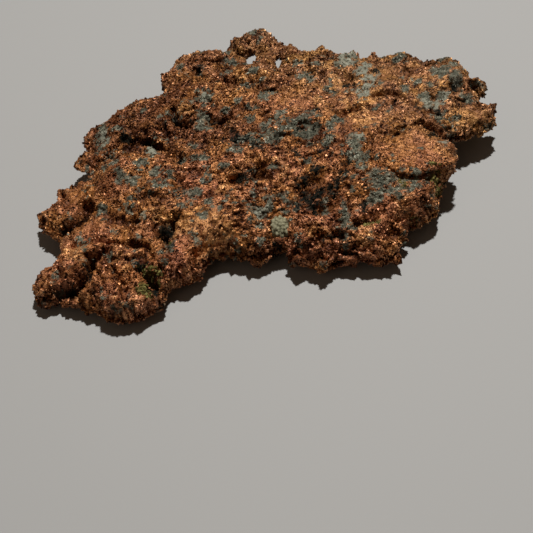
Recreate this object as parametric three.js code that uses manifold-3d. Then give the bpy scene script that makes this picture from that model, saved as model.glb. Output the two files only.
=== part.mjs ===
// Native copper nugget: one flat, ragged plate of copper that grew in a crack of its rock.
// It is a single natural piece, so it is a single solid. Millimetres, +Z up. X runs along the
// longest extent. The origin is under the middle of the plate, and four worn flats rest on Z = 0.
import * as THREE from "three";
import { ImprovedNoise } from "three/addons/math/ImprovedNoise.js";
import { mergeVertices } from "three/addons/utils/BufferGeometryUtils.js";
import Module from "manifold-3d";

// The plate as seen from above, anticlockwise from its right tip.
const OUTLINE = [
  [39.4, -3],
  // notch, then the upper right lobe, its small fin and its round knob
  [36.5, 3], [41, 4.1], [45.6, 5.9], [48.2, 8.4], [49, 13.2], [47.2, 13.2], [45.6, 14.8],
  [46.4, 17.2], [46, 20], [44, 19.6], [42.8, 22.8], [41.6, 26], [39.6, 27.4], [36.6, 27.2],
  [34.2, 25], [32.2, 28.2], [28.2, 29],
  // back edge
  [24.5, 29.2], [21.8, 31.2], [19.6, 29], [17.8, 31.8], [14.2, 31.2], [11.5, 33.4], [9.5, 34.4],
  [7.5, 32.4], [6, 31.8],
  // top knob
  [4.6, 33.4], [1.4, 35.8], [-1.2, 37.4], [-2.6, 39.8], [-5.4, 41.6], [-7.8, 40.4], [-10, 40.4],
  [-12, 38], [-11.2, 36], [-13, 33.4],
  // back left corner and left edge
  [-16, 32.6], [-20, 33], [-24.3, 31.8], [-25.4, 28.8], [-27.4, 24.8], [-26.2, 21.2],
  [-27.4, 18.4], [-30, 18.2], [-35, 14.4], [-37, 12], [-40.5, 11], [-43, 8.2], [-42.8, 5],
  [-41.4, 2.6],
  // left knob
  [-43.6, 1.8], [-44, -0.4], [-43.2, -2.4], [-40.6, -4.4], [-41, -7.4], [-43, -8.8],
  // left finger
  [-46.8, -8.8], [-46, -12.4], [-49, -14.8], [-49.2, -18.2], [-47.2, -20.2], [-44.7, -21.8],
  [-42.7, -26.4], [-43.6, -29.2], [-45.4, -31.6],
  // front left lobe
  [-47.2, -36.2], [-45, -38.8], [-41, -38], [-35, -40.2], [-31, -42], [-27, -43], [-22.4, -41.8],
  [-19.8, -39], [-20.6, -36.4],
  // step back along the front to the small middle lobe
  [-17.6, -34.2], [-14.2, -33.8], [-13.2, -31.6], [-13.8, -29.6], [-11.2, -27.2], [-8, -26.2],
  [-3.5, -28.2], [0, -28], [1.8, -24.6],
  // notch, then the front foot
  [4.2, -24.6], [5.5, -27.6], [8.5, -28.8], [12, -30.4], [15.4, -28.2], [21, -27.6],
  [24.6, -28.4], [26.6, -26.4],
  // right shoulder
  [27, -23.8], [29, -22.2], [27.6, -20.4], [31.8, -19.2], [35, -16], [35.6, -11.6], [38, -8],
];

// Gauge points: x, y, height of the underside and height of the upper face.
const GAUGES = [
  [-47, -36, 1.2, 6], [-28, -37, 0.8, 8], [-14, -33, 1.6, 7.5], [-47, -17, 1.8, 7],
  [-43, -1, 1.5, 7], [-42, 8, 2.2, 8.5], [-33, 15, 2.2, 10.5], [-27, -6, 1.2, 12],
  [-8, -20, 1, 11], [-1, -27, 2, 7.5], [10, -28, 1, 7.5], [25, -26, 1.6, 7.5],
  [0, 0, 1.2, 13.5], [20, -8, 1.8, 13], [34, -14, 2.6, 9.5], [38, -3, 5, 11.5],
  [46, 10, 4.6, 10], [43, 21, 5, 12.4], [34, 24, 4, 12], [15, 28, 2, 11.5],
  [5, 16, 1.4, 13.5], [-7, 38, 3, 10.5], [-21, 30, 2.2, 11], [-18, 10, 1.2, 12.5],
];

// Rounded masses on the upper face: x, y, radius and rise.
const MASSES = [
  [-27, -36.5, 5.5, 1.9], [-42, -34, 4, 1.2], [-34, -33, 3, 1.6], [-15.5, -33, 3.5, 1.4],
  [-19.5, 8, 3, 1.8], [-24.5, 3, 3, 1.4], [-9.3, 3, 3, 1.3], [2.5, -1, 3, 1], [25, 15, 4, 1.3],
  [1, -15.5, 3, 1.4], [-10, 21, 3.5, 1.4], [10, 22, 4, 1.4], [-38, -30.5, 5, 1.2],
  [-6.5, 36.5, 3.6, 2], [40, 19, 4, 1.2], [-35, 8, 4, 1.2],
];

// Hollows and crevices: start x, y, end x, y, half width and depth.
const HOLLOWS = [
  // crater chain left of the middle
  [-29.8, 1.2, -24, -2.6, 1.7, 4.2], [-22, 6.8, -20, 3.8, 1.5, 3], [-12.1, 4.7, -9.3, 4.6, 1.8, 3.2],
  // slot of the left finger, and the pit behind it
  [-43, -22, -39, -17.5, 1.5, 4.5], [-39.5, -15, -37.5, -16.5, 1.6, 2.4],
  // clefts of the front left lobe
  [-30.5, -30.5, -33, -36, 1.3, 3], [-33, -36, -36, -38.4, 1.4, 4], [-36, -38.4, -41, -37, 1.5, 4],
  [-23.5, -35, -20.5, -37, 1.9, 5], [-22, -24.8, -19, -22.5, 1.6, 3.5],
  [-29, -27, -24, -27.5, 1.4, 2],
  // front foot
  [11, -25.2, 15, -24.6, 1.4, 2], [19, -22.5, 22, -20.5, 1.5, 1.8],
  [11.5, -18.5, 13.5, -18.5, 1.8, 2],
  // crevices round the right lobe and in the upper right one
  [25, -12.4, 33.5, -13, 1.4, 2.2], [32.2, 3.8, 36.5, 2.4, 1.6, 3.6], [22, 12.5, 29.5, 12, 1.4, 2.4],
  [36, 8, 40, 6.5, 1.8, 2.4],
  // under the top knob, and the crack in front of it
  [-10, 31.6, -3.5, 31.2, 1.5, 3], [-14.5, 20.5, -7.5, 17, 1.3, 1.8],
];

// The smooth right-hand lobe that grew over the notch: centre, and half its size each way.
const RIGHT_LOBE = { centre: [30.3, -5, 9.8], half: [8.8, 7.4, 3.4] };

// Gaps between the arms that hold the top knob: x, y, and half widths across and along.
const GAPS = [
  [-6.5, 29.9, 1.8, 2.9],
  [0.1, 28, 1.3, 3.3],
];
const GAP_MIDDLE = 7;
const GAP_HALF_LENGTH = 20;
const GAP_DETAIL = 2;

// The underside rises in an arch under those arms.
const ARCH = { x: -3.5, y: 30, radius: 7.5, rise: 5.5 };

// Worn flats that touch the surface: x and y of their centres.
const RESTS = [[-31, -31], [14, -22], [29, 17], [-14, 25]];
const REST_RADIUS = 3.2;
const REST_SLOPE = 4;

// Ragged relief over the whole surface: spacing and height of each size of bump.
const RELIEF = [[9, 1.8], [4.6, 1.7], [2.6, 1.2]];

// The rim: how far in from the edge the upper face rounds over, and at what share of the
// thickness the edge lies. The front rim is sharp and low, the back rim round and high.
const FRONT_RIM = { roundOver: 1.8, level: 0.22 };
const BACK_RIM = { roundOver: 4.6, level: 0.55 };
const RIM_CHANGE = { start: -22, end: 18, slant: 0.4 };
const UNDERCUT_REACH = 9;

const PLATE_STEPS = 42;
const RIM_STEPS = 3;
const RIM_INSET = 0.03;
const LOBE_DETAIL = 7;
const LOBE_RAGGEDNESS = 0.08;
const HARMONICS = 64;
const OUTLINE_SAMPLES = 512;
const FADE_POWER = 0.8;
const GAUGE_BLUR = 9;
const UNDERSIDE_CLEARANCE = 0.5;
const LEAST_THICKNESS = 2;
const UNDERSIDE_RELIEF_LAYER = 50;
const MERGE_DISTANCE = 1e-4;
const COPPER = 0xb0683f;

const { clamp, lerp, smoothstep } = THREE.MathUtils;
const perlin = new ImprovedNoise();

// Ragged relief: sizes of Perlin noise added up, each with its own spacing and height.
function relief(x, y, z) {
  let height = 0;
  for (const [spacing, rise] of RELIEF) {
    height += rise * perlin.noise(x / spacing + rise, y / spacing + rise, z / spacing);
  }
  return height;
}

// The outline as a closed smooth curve, written as a Fourier series of complex numbers x + iy.
const outlineCurve = new THREE.CatmullRomCurve3(
  OUTLINE.map(([x, y]) => new THREE.Vector3(x, y, 0)),
  true,
  "centripetal",
);
const outlinePoints = outlineCurve.getSpacedPoints(OUTLINE_SAMPLES).slice(1);
const series = [];
for (let k = -HARMONICS; k <= HARMONICS; k++) {
  let re = 0;
  let im = 0;
  outlinePoints.forEach((p, i) => {
    const turn = (-2 * Math.PI * k * (i + 1)) / outlinePoints.length;
    re += p.x * Math.cos(turn) - p.y * Math.sin(turn);
    im += p.x * Math.sin(turn) + p.y * Math.cos(turn);
  });
  series.push({ k, re: re / outlinePoints.length, im: im / outlinePoints.length });
}

// A point of the unit disc carried to the plate: each harmonic fades inwards, the high ones first,
// so that rings near the rim follow every lobe and rings near the middle are round.
function plan(radius, angle) {
  let x = 0;
  let y = 0;
  for (const { k, re, im } of series) {
    const fade = radius ** (Math.abs(k) ** FADE_POWER);
    x += fade * (re * Math.cos(k * angle) - im * Math.sin(k * angle));
    y += fade * (re * Math.sin(k * angle) + im * Math.cos(k * angle));
  }
  return [x, y];
}

// A height between the gauge points: their mean, weighted by one over distance to the fourth power.
function gauge(x, y, column) {
  let sum = 0;
  let weights = 0;
  for (const point of GAUGES) {
    const weight = 1 / (Math.hypot(x - point[0], y - point[1]) ** 2 + GAUGE_BLUR) ** 2;
    sum += weight * point[column];
    weights += weight;
  }
  return sum / weights;
}

function distanceToStroke(x, y, [x1, y1, x2, y2]) {
  const length = Math.hypot(x2 - x1, y2 - y1);
  const along = ((x - x1) * (x2 - x1) + (y - y1) * (y2 - y1)) / (length * length);
  const t = clamp(along, 0, 1);
  return Math.hypot(x - x1 - t * (x2 - x1), y - y1 - t * (y2 - y1));
}

function upperFace(x, y) {
  let height = gauge(x, y, 3) + relief(x, y, 0);
  for (const [mx, my, radius, rise] of MASSES) {
    const away = Math.hypot(x - mx, y - my) / radius;
    height += rise * Math.exp(-away * away);
  }
  for (const hollow of HOLLOWS) {
    const away = distanceToStroke(x, y, hollow) / hollow[4];
    height -= hollow[5] * Math.exp(-away * away);
  }
  return height;
}

function underside(x, y) {
  const away = Math.hypot(x - ARCH.x, y - ARCH.y) / ARCH.radius;
  const arch = ARCH.rise * Math.exp(-away * away);
  const height = gauge(x, y, 2) + arch + relief(x, y, UNDERSIDE_RELIEF_LAYER);
  return Math.max(UNDERSIDE_CLEARANCE, height);
}

function distanceFromRim(x, y) {
  return Math.min(...outlinePoints.map((p) => Math.hypot(x - p.x, y - p.y)));
}

// Heights of the upper face and of the underside, drawn together towards the rim: the upper face
// rounds over, and the underside is undercut.
function faces(x, y) {
  const inward = distanceFromRim(x, y);
  const back = smoothstep(y - RIM_CHANGE.slant * x, RIM_CHANGE.start, RIM_CHANGE.end);
  const fromEdge = Math.min(1, inward / lerp(FRONT_RIM.roundOver, BACK_RIM.roundOver, back));
  const fullness = Math.sqrt(1 - (1 - fromEdge) ** 2);
  const undercut = 1 - (1 - Math.min(1, inward / UNDERCUT_REACH)) ** 2;
  const low = underside(x, y);
  const high = Math.max(low + LEAST_THICKNESS, upperFace(x, y));
  const edge = lerp(low, high, lerp(FRONT_RIM.level, BACK_RIM.level, back));
  return [lerp(edge, high, fullness), lerp(edge, low, undercut)];
}

// 0 on the worn flats, rising to 1 around them, so that the nugget stands on nothing else.
function clearOfRests(x, y) {
  const nearest = Math.min(...RESTS.map(([rx, ry]) => Math.hypot(x - rx, y - ry)));
  return smoothstep(nearest, REST_RADIUS, REST_RADIUS + REST_SLOPE);
}

// A closed manifold-3d solid from a three.js geometry.
const wasm = await Module();
wasm.setup();

function solid(geometry) {
  geometry.deleteAttribute("normal");
  geometry.deleteAttribute("uv");
  const merged = mergeVertices(geometry, MERGE_DISTANCE);
  const vertProperties = new Float32Array(merged.attributes.position.array);
  const triVerts = new Uint32Array(merged.index.array);
  return new wasm.Manifold(new wasm.Mesh({ numProp: 3, vertProperties, triVerts }));
}

// Moves every point of a geometry to the place that a function gives for it.
function shaped(geometry, place) {
  const position = geometry.attributes.position;
  for (let i = 0; i < position.count; i++) {
    const point = new THREE.Vector3().fromBufferAttribute(position, i);
    position.setXYZ(i, ...place(point));
  }
  return geometry;
}

// A flat box pressed into the nugget: its top becomes the upper face, its bottom the underside,
// and its four sides the rim. Its square plan is first drawn onto the unit disc.
function plate() {
  const box = new THREE.BoxGeometry(2, 2, 2, PLATE_STEPS, PLATE_STEPS, RIM_STEPS);
  return shaped(box, (p) => {
    const across = p.x * Math.sqrt(1 - p.y ** 2 / 2);
    const along = p.y * Math.sqrt(1 - p.x ** 2 / 2);
    const radius = Math.min(1, Math.hypot(across, along));
    const angle = Math.atan2(along, across);
    const [x, y] = plan(radius * (1 - RIM_INSET * p.z ** 2), angle);
    const [top, bottom] = faces(x, y);
    const height = lerp(bottom, top, (p.z + 1) / 2);
    return [x, y, p.z > -1 ? height : height * clearOfRests(x, y)];
  });
}

function rightLobe() {
  const { centre, half } = RIGHT_LOBE;
  return shaped(new THREE.IcosahedronGeometry(1, LOBE_DETAIL), (p) => {
    const point = [0, 1, 2].map((axis) => centre[axis] + half[axis] * p.getComponent(axis));
    const swell = 1 + LOBE_RAGGEDNESS * relief(...point);
    return [0, 1, 2].map((axis) => centre[axis] + swell * half[axis] * p.getComponent(axis));
  });
}

// A gap is cut by a long spindle that stands through the plate.
function gap([x, y, halfX, halfY]) {
  return shaped(new THREE.IcosahedronGeometry(1, GAP_DETAIL), (p) => [
    x + halfX * p.x,
    y + halfY * p.y,
    GAP_MIDDLE + GAP_HALF_LENGTH * p.z,
  ]);
}

let nugget = solid(plate()).add(solid(rightLobe()));
for (const place of GAPS) {
  nugget = nugget.subtract(solid(gap(place)));
}

const mesh = nugget.getMesh();
const geometry = new THREE.BufferGeometry();
geometry.setAttribute("position", new THREE.BufferAttribute(mesh.vertProperties, 3));
geometry.setIndex(new THREE.BufferAttribute(mesh.triVerts, 1));

// The origin is set under the middle of the finished shape.
geometry.computeBoundingBox();
const centre = geometry.boundingBox.getCenter(new THREE.Vector3());
geometry.translate(-centre.x, -centre.y, 0);
geometry.computeVertexNormals();

const copper = new THREE.MeshStandardMaterial({ color: COPPER, roughness: 0.45, metalness: 0.9 });
const body = new THREE.Mesh(geometry, copper);
body.name = "native_copper_nugget";

const part = new THREE.Group();
part.add(body);

export default part;
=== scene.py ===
import math

import bpy
import numpy as np
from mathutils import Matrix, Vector


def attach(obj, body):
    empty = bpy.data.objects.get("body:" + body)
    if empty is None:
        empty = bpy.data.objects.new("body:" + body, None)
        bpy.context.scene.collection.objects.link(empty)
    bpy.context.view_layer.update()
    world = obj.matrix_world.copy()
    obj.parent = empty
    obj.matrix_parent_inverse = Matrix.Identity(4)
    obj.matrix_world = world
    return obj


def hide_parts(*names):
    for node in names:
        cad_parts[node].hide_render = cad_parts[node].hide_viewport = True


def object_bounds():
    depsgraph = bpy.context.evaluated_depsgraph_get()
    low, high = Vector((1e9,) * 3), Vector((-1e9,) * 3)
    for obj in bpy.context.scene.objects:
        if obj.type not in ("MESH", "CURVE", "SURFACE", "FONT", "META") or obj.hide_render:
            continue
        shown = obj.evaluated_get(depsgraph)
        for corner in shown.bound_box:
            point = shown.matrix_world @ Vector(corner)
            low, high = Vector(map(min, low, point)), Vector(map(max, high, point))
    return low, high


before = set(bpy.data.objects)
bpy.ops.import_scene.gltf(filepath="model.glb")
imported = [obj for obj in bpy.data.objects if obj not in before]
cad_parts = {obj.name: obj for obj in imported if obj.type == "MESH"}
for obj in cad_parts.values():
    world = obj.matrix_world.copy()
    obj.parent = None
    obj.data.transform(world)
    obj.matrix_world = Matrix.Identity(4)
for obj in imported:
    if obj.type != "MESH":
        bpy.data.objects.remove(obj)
cad_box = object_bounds()

# ---------------------------------------------------------------------------------------------
# The plate. The real nugget is one ragged plate of copper that grew in a crack of its rock, so it
# is thin, lobed at the rim and covered in knobs and hollows. It is worked out in millimetres as
# two sheets over one outline, an upper face and an underside, that meet at a rounded rim.
# ---------------------------------------------------------------------------------------------
MM = 0.001
PLATE_STEPS = 216
HARMONICS = 110
FADE_POWER = 0.8

# The outer band of the grid, as a share of its radius, where its rings are drawn closer together.
RIM_BAND = 0.13

# The rim is rounded over this far in, and its two faces meet at this share of its thickness.
FRONT_RIM_ROUND = 1.8
BACK_RIM_ROUND = 4.6
FRONT_RIM_LEVEL = 0.22
BACK_RIM_LEVEL = 0.55

# How far in from the rim the underside starts to rise to it, the spacing and depth of the rim's
# small teeth, and the least thickness that is left under a hollow.
UNDERCUT_REACH = 9.0
EDGE_TEETH = 2.2
EDGE_RAGGEDNESS = 0.5
LEAST_THICKNESS = 0.8

# The outline from above, anticlockwise from the right tip, lobe by lobe.
OUTLINE = [
    (39.4, -3),
    # notch, then the upper right lobe, its small fin and its round knob
    (36.5, 3), (41, 4.1), (45.6, 5.9), (48.2, 8.4), (49, 13.2), (47.2, 13.2), (45.6, 14.8),
    (46.4, 17.2), (46, 20), (44, 19.6), (42.8, 22.8), (41.6, 26), (39.6, 27.4), (36.6, 27.2),
    (34.2, 25), (32.2, 28.2), (28.2, 29),
    # back edge
    (24.5, 29.2), (21.8, 31.2), (19.6, 29), (17.8, 31.8), (14.2, 31.2), (11.5, 33.4), (9.5, 34.4),
    (7.5, 32.4), (6, 31.8),
    # top knob
    (4.6, 33.4), (1.4, 35.8), (-1.2, 37.4), (-2.6, 39.8), (-5.4, 41.6), (-7.8, 40.4), (-9.6, 39.8),
    (-12.4, 38.6), (-11, 36.4), (-13, 33.4),
    # back left corner and left edge
    (-16, 32.6), (-20, 33), (-24.3, 31.8), (-25.4, 28.8), (-27.4, 24.8), (-26.2, 21.2),
    (-27.4, 18.4), (-30, 18.2), (-35, 14.4), (-37, 12), (-40.5, 11), (-43, 8.2), (-42.8, 5),
    (-41.4, 2.6),
    # left knob
    (-43.2, 2.2), (-44.2, 0.6), (-44, -1), (-42.8, -2.2), (-40.8, -3), (-40.4, -4.8), (-41, -7.4),
    (-43, -8.8),
    # left finger
    (-46.8, -8.8), (-46, -12.4), (-49, -14.8), (-49.2, -18.2), (-47.2, -20.2), (-44.7, -21.8),
    (-42.7, -26.4), (-43.6, -29.2), (-45.4, -31.6),
    # front left lobe
    (-47.2, -36.2), (-45, -38.8), (-41, -38), (-35, -40.2), (-31, -42), (-27, -43), (-22.4, -41.8),
    (-19.8, -39), (-20.6, -36.4),
    # step back along the front to the small middle lobe
    (-17.6, -34.2), (-14.2, -33.8), (-13.2, -31.6), (-13.8, -29.6), (-11.2, -27.2), (-8, -26.2),
    (-3.5, -28.2), (0, -28), (1.8, -24.6),
    # notch, then the front foot
    (4.2, -24.6), (5.5, -27.6), (8.5, -28.8), (12, -30.4), (15.4, -28.2), (21, -27.6),
    (24.6, -28.4), (26.6, -26.4),
    # right shoulder
    (27, -23.8), (29, -22.2), (27.6, -20.4), (31.8, -19.2), (35, -16), (35.6, -11.6), (38, -8),
]

# Gauge points: x, y, height of the underside and height of the upper face.
GAUGES = np.array([
    (-47, -36, 1.2, 6), (-28, -37, 0.8, 7), (-14, -33, 1.6, 7.5), (-47, -17, 1.8, 7),
    (-43, -1, 1.5, 7), (-42, 8, 2.2, 8.5), (-33, 15, 2.2, 10.5), (-27, -6, 1.2, 12),
    (-8, -20, 1, 11), (-1, -27, 2, 7.5), (10, -28, 1, 7.5), (25, -26, 1.6, 7.5),
    (0, 0, 1.2, 13.5), (20, -8, 1.8, 13), (34, -14, 2.6, 9.5), (38, -3, 5, 11.5),
    (46, 10, 4.6, 10), (43, 21, 5, 12.4), (34, 24, 4, 12), (15, 28, 2, 11.5),
    (5, 16, 1.4, 13.5), (-7, 38, 3, 10.5), (-21, 30, 2.2, 11), (-18, 10, 1.2, 12.5),
])

# Rounded masses on the upper face: x, y, radius and rise.
MASSES = np.array([
    (-31, -34, 3, 0.5), (-43, -34, 3, 1.0), (0.5, 33, 2.6, 1.2), (-15.5, -33, 3.5, 1.4),
    (-19.1, 8, 2.4, 1.9), (-25, 4, 2.6, 1.2), (-8.6, 2.6, 1.5, 1.2), (2.5, -1, 3, 1),
    (25, 15, 3.5, 1.2), (1, -15.5, 2.6, 1.6), (-10, 21, 3, 1.4), (10, 22, 4, 1.4),
    (-33, -30, 4, 1.4), (-38, -30.5, 5, 1.2), (-6.5, 37, 2.6, 1.1), (40, 19, 4, 1.2),
    (-2, -28, 3, 1.4), (9, -26, 3.5, 1.4), (21, -25, 3, 1), (-6, 12, 4, 1), (12, 8, 4.5, 1.1),
    (-35, 8, 4, 1.2), (-16, 29, 4, 1.3), (3, -9, 2.6, 1.1), (4, -5, 2.4, 0.9), (33, -16, 3, 0.8),
    (27.5, -15.5, 4.5, 0.9), (32.5, -14, 3, 0.6), (-32, -8, 4, 1.2), (-10, -8, 4, 1),
    (-22, -16, 4, 1.3), (28, 25, 3, 1),
])

# Hollows and crevices: start x, y, end x, y, half width and depth.
HOLLOWS = np.array([
    # deep crater chain left of the middle, and the round hollow beside it
    (-29.8, 1.2, -26.5, -1.2, 1.1, 4.5), (-26.5, -1.2, -23.6, -2.8, 0.9, 3.6),
    (-23.6, -2.8, -20.4, -4.4, 0.6, 2), (-24.6, 3.8, -22.8, 1.8, 0.7, 2.4),
    (-22.3, 9.4, -22, 6.8, 0.6, 2.2), (-22, 6.8, -20.5, 3.9, 0.9, 4),
    (-20.5, 3.8, -18.2, 3.8, 0.7, 3), (-18.2, 3.8, -16.1, 5.9, 0.6, 3),
    (-12.3, 5.2, -9.6, 5.0, 1.4, 6),
    # hollows beside the left knob
    (-36, -1.5, -33, 2.5, 1.1, 2.2), (-33, 2.5, -30, -1, 0.9, 2),
    (-33, -6.5, -35.5, -2.5, 0.8, 1.8),
    # left finger slot, and the long crease behind the front left lobe
    (-43, -22, -39.5, -19.5, 1.1, 5), (-39.5, -19.5, -38.5, -16.5, 1.4, 4),
    (-39.5, -15, -37.5, -16.5, 1.2, 2.5), (-39.5, -27, -35, -27.5, 0.7, 1.4),
    (-35, -27.5, -29, -26.5, 0.7, 1.8), (-29, -26.5, -24, -27.5, 0.6, 1.2),
    (-24, -27.5, -21.5, -31, 0.5, 1.2),
    # cleft that parts the front left lobe into a knob and a folded face
    (-31.5, -28.4, -34.2, -31.7, 0.6, 2.6), (-34.2, -31.7, -35.1, -35, 0.8, 4.2),
    (-35.1, -35, -37.6, -37.4, 1, 5.2), (-37.6, -37.4, -41, -37.4, 1, 5.2),
    # groove between that knob and the flap behind it
    (-41.2, -33.2, -40.6, -37.4, 0.6, 2.2), (-43.4, -31.4, -41.2, -33.2, 0.5, 1.2),
    # folds down the face
    (-31.5, -31.2, -29.4, -34.2, 0.5, 1.6), (-29.4, -34.2, -27.2, -37.4, 0.5, 1.6),
    (-27.2, -37.4, -26.6, -41, 0.5, 1.5), (-33, -34.2, -31, -38, 0.5, 1.5),
    (-31, -38, -30.2, -41.4, 0.5, 1.5), (-28.6, -30.5, -26, -34, 0.4, 1.2),
    (-34, -42, -33.4, -38.6, 0.6, 2.5), (-32, -39, -31.5, -42, 0.7, 1.5),
    # deep hole between the front left lobe and the small middle lobe
    (-24, -33.8, -21.5, -35.6, 1.1, 5), (-21.5, -35.6, -20.8, -39.5, 0.8, 3.5),
    (-20.5, -35.5, -20, -32, 0.7, 2.5),
    # crevice behind the small middle lobe, and a pit left of it
    (-21.6, -24.8, -19.6, -24.5, 0.9, 5), (-19.6, -25, -18.4, -21, 0.8, 4.2),
    (-20.2, -26, -19.8, -29, 0.8, 2), (-28, -22, -27, -21.5, 0.9, 1.6),
    # hollows along the front edge
    (-10, -31, -9, -29, 1.2, 2), (-6.5, -27.5, -5, -28, 0.9, 1.5), (-4.5, -29.5, -3.5, -27, 0.9, 2),
    (11, -25.2, 15, -24.6, 0.9, 2.4), (19, -22.5, 22, -20.5, 1, 1.8),
    (24.5, -24.5, 26, -23, 1.2, 3), (11.5, -18.5, 13.5, -18.5, 1.3, 2),
    # slot in the black streak
    (16.9, -9.2, 15, -12.4, 0.5, 1.6), (15, -12.4, 13, -15.2, 0.5, 1.4),
    (14.2, -16.6, 15.2, -13, 0.5, 1.8), (15.2, -13, 16.9, -9, 0.6, 1.6),
    # crevice under the right lobe, and the cavities behind it
    (21.8, -7.8, 24, -10, 0.6, 1.2), (24, -10, 27, -12, 0.6, 1.4), (27, -12, 31.6, -12.5, 0.6, 1.5),
    (31.6, -12.5, 34, -10.8, 0.6, 1.5), (20.3, -5, 20.8, -9, 0.7, 1.6),
    (20.5, -6, 21.5, -3, 1.1, 1.4), (24, 0.4, 28.8, 0.6, 1.0, 2), (32.2, 3.8, 36.5, 2.4, 0.9, 4),
    (36, 8, 40, 6.5, 1.5, 1.4),
    # crevices in the upper right lobe
    (22, 12.5, 28, 12.8, 0.5, 1.4), (28, 12.8, 30.5, 10.5, 0.5, 1.2),
    (33.5, 8.5, 36.5, 8, 0.7, 1.6), (40, 15.5, 41, 16, 1.1, 2.2), (45.5, 12, 46, 10.5, 0.8, 1.4),
    # sunken ground before the arms that hold the knob
    (-10, 31.6, -3.5, 31.2, 1.0, 3.4), (0.5, 29.8, 5, 29.2, 0.7, 2.2),
    # cracks and small hollows over the middle and towards the back
    (15, 5.5, 19, 8.5, 0.6, 1.5), (-18.5, 23.5, -17, 21.5, 0.9, 1.8),
    (-14.5, 20.5, -11, 18.5, 0.7, 1.6), (-11, 18.5, -7.5, 17, 0.7, 1.8),
    (-6.5, 15.5, -1, 13.5, 0.7, 1.6), (-7.5, -12, -5, -12, 1.1, 1.6),
    (-2.5, -11.5, -1, -11, 1.1, 1.6), (2.5, -2.5, 4, -2, 0.9, 1.8), (8, -15, 10.5, -12.5, 1.4, 2),
    (-19.5, -11.5, -17.5, -13, 1.2, 1.8), (-20.5, -5, -19, -6, 1.2, 1.6),
    (17, 17.5, 17.5, 20.5, 1, 1.6),
])

# Ridges on the upper face: start x, y, end x, y, half width and rise.
RIDGES = np.array([
    (-33.5, -26.8, -36.8, -30.8, 1.5, 1.3), (-36.8, -30.8, -40.2, -34.4, 1.6, 1.5),
    (-29.5, -29.5, -25.6, -33.6, 1.4, 1.2), (-25.6, -33.6, -24.2, -38.2, 1.3, 1.2),
    (-31.5, -33, -31.8, -39, 1.2, 1.0), (-31.8, -39, -27, -42.6, 1.2, 1.2),
])

# Gaps right through, between the arms that hold the top knob: x, y, half width, half length.
GAPS = np.array([(-6.5, 29.9, 1.8, 2.9), (0.1, 28.0, 1.3, 3.3)])

# The underside rises in an arch under those arms: x, y, radius and rise.
ARCH = (-3.5, 30.0, 7.5, 5.5)

# Worn flats that the nugget rests on, how wide they are, how far their slopes reach, and how far
# the rest of the underside is lifted clear.
RESTS = np.array([(-31, -31), (14, -22), (29, 17), (-14, 25)])
REST_RADIUS = 3.2
REST_SLOPE = 4.0
REST_LIFT = 0.35

# Knobs that grew on both faces, the large ones first: spacing, rise and seed.
PLATE_KNOBS = [(6.5, 0.5, 100), (3.1, 0.45, 200), (1.7, 0.5, 300), (0.95, 0.45, 400)]

# Creases between them: spacing, width as a share of the noise, depth and seed.
PLATE_CREASES = [(5.0, 0.10, 0.9, 500), (2.6, 0.13, 0.6, 600)]


def closed_curve(corners, count):
    """A centripetal Catmull-Rom curve through the corners, as complex numbers x + iy.

    Between two corners the point is a blend of three straight lines through the four nearest
    corners, blended twice; the count samples are evenly spaced along the curve."""
    p = np.array([complex(x, y) for x, y in corners])
    p0, p1, p2, p3 = (np.roll(p, shift)[:, None] for shift in (1, 0, -1, -2))
    t1 = np.sqrt(np.abs(p1 - p0))
    t2 = t1 + np.sqrt(np.abs(p2 - p1))
    t3 = t2 + np.sqrt(np.abs(p3 - p2))
    t = t1 + (t2 - t1) * np.linspace(0, 1, 24, endpoint=False)[None, :]
    a1 = ((t1 - t) * p0 + t * p1) / t1
    a2 = ((t2 - t) * p1 + (t - t1) * p2) / (t2 - t1)
    a3 = ((t3 - t) * p2 + (t - t2) * p3) / (t3 - t2)
    b1 = ((t2 - t) * a1 + t * a2) / t2
    b2 = ((t3 - t) * a2 + (t - t1) * a3) / (t3 - t1)
    curve = (((t2 - t) * b1 + (t - t1) * b2) / (t2 - t1)).ravel()
    curve = np.append(curve, curve[0])
    length = np.append(0, np.cumsum(np.abs(np.diff(curve))))
    even = np.linspace(0, length[-1], count, endpoint=False)
    return np.interp(even, length, curve.real) + 1j * np.interp(even, length, curve.imag)


def plan_of(disc, outline):
    """Carries points of the unit disc to the plan inside an outline.

    The outline is a sum of turning arrows, its Fourier series. Arrow k fades inwards as the
    radius to the power k ** 0.8, so outer rings follow every lobe and inner ones are round."""
    samples = len(outline)
    arrows = np.fft.fft(outline) / samples
    turns = np.fft.fftfreq(samples, 1 / samples).astype(int)
    radius = np.abs(disc)
    angle = np.angle(disc)
    plan = np.zeros(disc.shape, complex)
    for k, arrow in zip(turns, arrows):
        if abs(k) <= HARMONICS:
            plan += arrow * radius ** (abs(k) ** FADE_POWER) * np.exp(1j * k * angle)
    return plan


def gauge(x, y, column):
    """A height between the gauge points: their mean, weighted by one over distance to the fourth."""
    away = (x[..., None] - GAUGES[:, 0]) ** 2 + (y[..., None] - GAUGES[:, 1]) ** 2
    weight = 1 / (away + 9) ** 2
    return (weight * GAUGES[:, column]).sum(-1) / weight.sum(-1)


def masses(x, y):
    """Rounded rises: each is its height times a bell curve of the distance from its middle."""
    away = np.hypot(x[..., None] - MASSES[:, 0], y[..., None] - MASSES[:, 1]) / MASSES[:, 2]
    return (MASSES[:, 3] * np.exp(-away ** 2)).sum(-1)


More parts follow.
